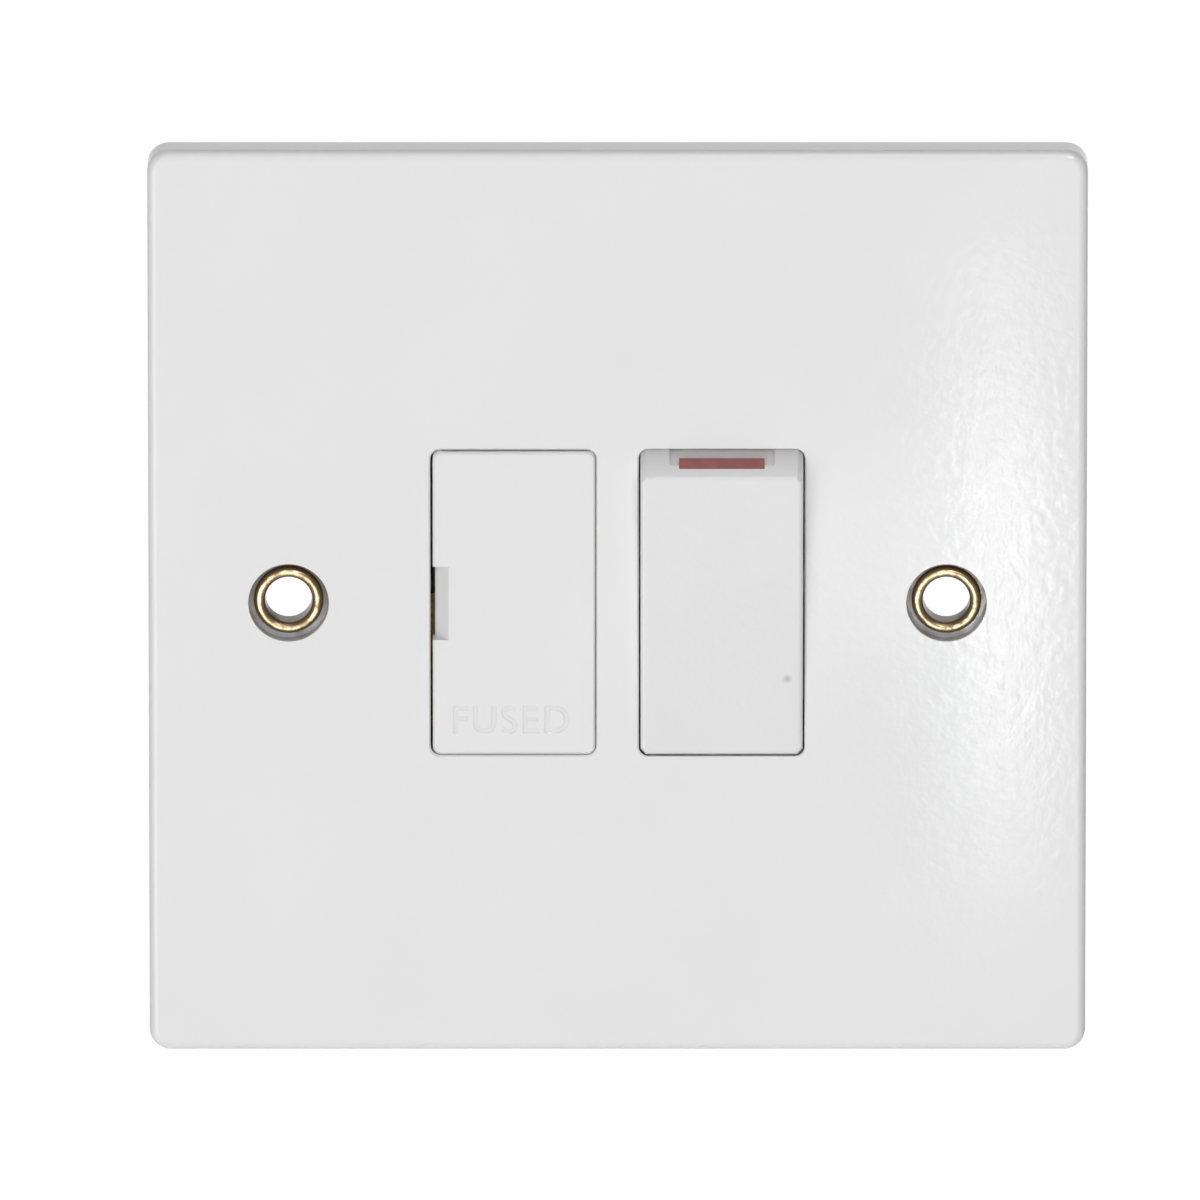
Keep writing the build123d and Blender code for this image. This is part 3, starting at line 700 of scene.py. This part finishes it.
def makeFuseCap(name, nodeName, side):
    low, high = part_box(nodeName)
    middle = (low + high) / 2
    radius = (high.x - low.x) / 2
    endZ = high.z if side > 0 else low.z
    rimZ = low.z if side > 0 else high.z
    tube = radius - capLook["wall"]
    bend = capLook["round"]
    points = [(0, endZ)]
    for step in range(capLook["roundSteps"] + 1):
        angle = pi / 2 * step / capLook["roundSteps"]
        down = bend - bend * cos(angle)
        points.append((radius - bend + bend * sin(angle), endZ - side * down))
    crimpZ = rimZ + side * capLook["crimpFromRim"]
    for shift, sunk in ((1, 0), (0, 1), (-1, 0)):
        z = crimpZ + side * shift * capLook["crimpHalf"]
        points.append((radius - sunk * capLook["crimp"], z))
    points += [(radius, rimZ), (tube, rimZ), (tube, endZ - side * capLook["end"])]
    points.append((0, endZ - side * capLook["end"]))
    shape = bmesh.new()
    geometry = profileEdges(shape, [(middle.x + r, middle.y, z) for r, z in points])
    spinRound(shape, geometry, (middle.x, middle.y, 0), (0, 0, 1), capLook["ringSteps"])
    piece = finishPiece(name, shape, "fuse_drawer", "cap_nickel")
    piece.data.set_sharp_from_angle(angle=radians(capLook["sharpAngle"]))
    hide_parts(nodeName)


makeFuseCap("fuseCapUpper", "fuse_cap_upper", 1)
makeFuseCap("fuseCapLower", "fuse_cap_lower", -1)
print("fuse caps done")


# Camera: long lens, a little above the plate's normal

cameraLook = {
    "elevation": 16.6,
    "distance": 4.0,
    "frameWidth": 109.97 * mm,
    "target": Vector((-1.606, -3.2, 0.28)) * mm,
    "sensor": 36.0,
}


def makeCamera():
    tilt = radians(cameraLook["elevation"])
    camera = bpy.data.objects.new("camera", bpy.data.cameras.new("camera"))
    camera.data.sensor_width = cameraLook["sensor"]
    camera.data.lens = cameraLook["sensor"] * cameraLook["distance"] / cameraLook["frameWidth"]
    back = Vector((0, -cos(tilt), sin(tilt)))
    camera.location = cameraLook["target"] + back * cameraLook["distance"]
    camera.rotation_euler = (pi / 2 - tilt, 0, 0)
    scene.collection.objects.link(camera)
    scene.camera = camera


makeCamera()


# Lamps: a broad front light, a fill, a small high lamp, one overhead and one for the back,
# and panes that only gloss shows

streakGlint = Vector((37, -3.2, 2)) * mm  # where the plate mirrors the glare
patchGlint = Vector((24.5, -3.2, 5)) * mm
topEdge = Vector((150, -3.2, 43)) * mm  # its line, carried on to below the brow and edge panes
toGlare = Vector((0, -0.192, -0.057))  # from the plate to the panes it mirrors
lampLooks = {
    "front": {"place": (-0.4, -1.7, 0.05), "size": (1.8, 1.95), "power": 14.8},
    "fill": {"place": (-0.9, -1.45, -0.45), "size": (1.3, 0.9), "power": 5.4},
    "high": {"place": (0.3, -1.0, 0.6), "size": (0.3, 0.3), "power": 3.2},
    "over": {"place": (0, -0.15, 1.3), "size": (0.8, 0.8), "power": 1.2},
    "back": {"place": (0.35, 1.6, 0.32), "size": (1.4, 1.4), "power": 19.0, "dullOnly": True},
    "patch": {"place": patchGlint + toGlare, "aim": patchGlint,
              "size": (0.014, 0.018), "power": 0.001, "glossOnly": True},
    "brow": {"place": (0.15, -0.45, 0.5), "aim": topEdge,
             "size": (0.6, 0.6), "power": 1.5, "glossOnly": True},
    "edge": {"place": (0.15, -0.33, 0.42), "aim": topEdge,
             "size": (0.3, 0.1), "power": 0.36, "glossOnly": True},
}
streakLook = {
    "heights": (0.018, 0.034, 0.05, 0.066),  # they fade the streak towards its ends
    "width": 0.004,
    "apart": 0.02,  # each pane lies this share farther off
    "power": 0.042,  # for each metre of height
}
for order, height in enumerate(streakLook["heights"]):
    lampLooks[f"streak{order}"] = {
        "place": streakGlint + toGlare * (1 + streakLook["apart"] * order), "aim": streakGlint,
        "size": (streakLook["width"], height), "power": streakLook["power"] * height,
        "glossOnly": True,
    }


def makeLamp(name):
    look = lampLooks[name]
    lamp = bpy.data.objects.new(name, bpy.data.lights.new(name, "AREA"))
    lamp.data.shape = "RECTANGLE"
    lamp.data.size, lamp.data.size_y = look["size"]
    lamp.data.energy = look["power"]
    lamp.location = look["place"]
    aim = Vector(look.get("aim", (0, 0, 0))) - lamp.location
    lamp.rotation_euler = aim.to_track_quat("-Z", "Y").to_euler()
    lamp.visible_camera = False
    lamp.visible_diffuse = not look.get("glossOnly", False)
    lamp.visible_glossy = not look.get("dullOnly", False)
    scene.collection.objects.link(lamp)


for lampName in lampLooks:
    makeLamp(lampName)


# White surroundings

surroundLook = {
    "ambient": 0.15,
    "frontGloss": 0.3,  # what gloss sees in front of the plate; white behind it
    "frontSpan": (-0.3, 0.5),
    "floorZ": -1.0,
    "floorSize": 8.0,
    "floorColour": (0.9, 0.9, 0.9),
    "floorRough": 0.9,
    "floorGlow": 0.85,
}


def addSeenFactor(tree):  # 1 for camera, glossy and transmission rays
    path = tree.nodes.new("ShaderNodeLightPath")
    total = addMath(tree, "MAXIMUM", path.outputs["Is Camera Ray"], path.outputs["Is Glossy Ray"])
    return addMath(tree, "MAXIMUM", total, path.outputs["Is Transmission Ray"])


def makeWorld():
    world = bpy.data.worlds.new("studio")
    world.use_nodes = True
    tree = world.node_tree
    seen = addSeenFactor(tree)
    lit = tree.nodes["Background"]
    lit.inputs["Color"].default_value = (1, 1, 1, 1)
    lit.inputs["Strength"].default_value = surroundLook["ambient"]
    white = tree.nodes.new("ShaderNodeBackground")  # white to the camera, dimmer for gloss in front
    white.inputs["Color"].default_value = (1, 1, 1, 1)
    mix = tree.nodes.new("ShaderNodeMixShader")
    direction = tree.nodes.new("ShaderNodeTexCoord").outputs["Generated"]
    forward = addParts(tree, direction)["Y"]
    dimmed = addRange(tree, forward, surroundLook["frontSpan"], (surroundLook["frontGloss"], 1))
    direct = tree.nodes["Light Path"].outputs["Is Camera Ray"]
    tree.links.new(addMath(tree, "MAXIMUM", dimmed, direct), white.inputs["Strength"])
    tree.links.new(seen, mix.inputs[0])
    tree.links.new(lit.outputs[0], mix.inputs[1])
    tree.links.new(white.outputs[0], mix.inputs[2])
    tree.links.new(mix.outputs[0], tree.nodes["World Output"].inputs["Surface"])
    scene.world = world


def makeFloor():
    shape = bmesh.new()
    half = surroundLook["floorSize"] / 2
    bmesh.ops.create_grid(shape, x_segments=1, y_segments=1, size=half)
    bmesh.ops.translate(shape, verts=shape.verts, vec=(0, 0, surroundLook["floorZ"]))
    mesh = bpy.data.meshes.new("floor")
    shape.to_mesh(mesh)
    shape.free()
    floor = bpy.data.objects.new("floor", mesh)
    scene.collection.objects.link(floor)
    material = bpy.data.materials.new("floorWhite")
    material.use_nodes = True
    tree = material.node_tree
    paint = tree.nodes["Principled BSDF"]
    paint.inputs["Base Color"].default_value = (*surroundLook["floorColour"], 1)
    paint.inputs["Roughness"].default_value = surroundLook["floorRough"]
    glow = tree.nodes.new("ShaderNodeEmission")
    glow.inputs["Strength"].default_value = surroundLook["floorGlow"]
    both = tree.nodes.new("ShaderNodeAddShader")
    mix = tree.nodes.new("ShaderNodeMixShader")
    tree.links.new(paint.outputs[0], both.inputs[0])
    tree.links.new(glow.outputs[0], both.inputs[1])
    tree.links.new(addSeenFactor(tree), mix.inputs[0])
    tree.links.new(paint.outputs[0], mix.inputs[1])
    tree.links.new(both.outputs[0], mix.inputs[2])
    tree.links.new(mix.outputs[0], tree.nodes["Material Output"].inputs["Surface"])
    mesh.materials.append(material)


makeWorld()
makeFloor()
print("camera, lamps and surroundings done")
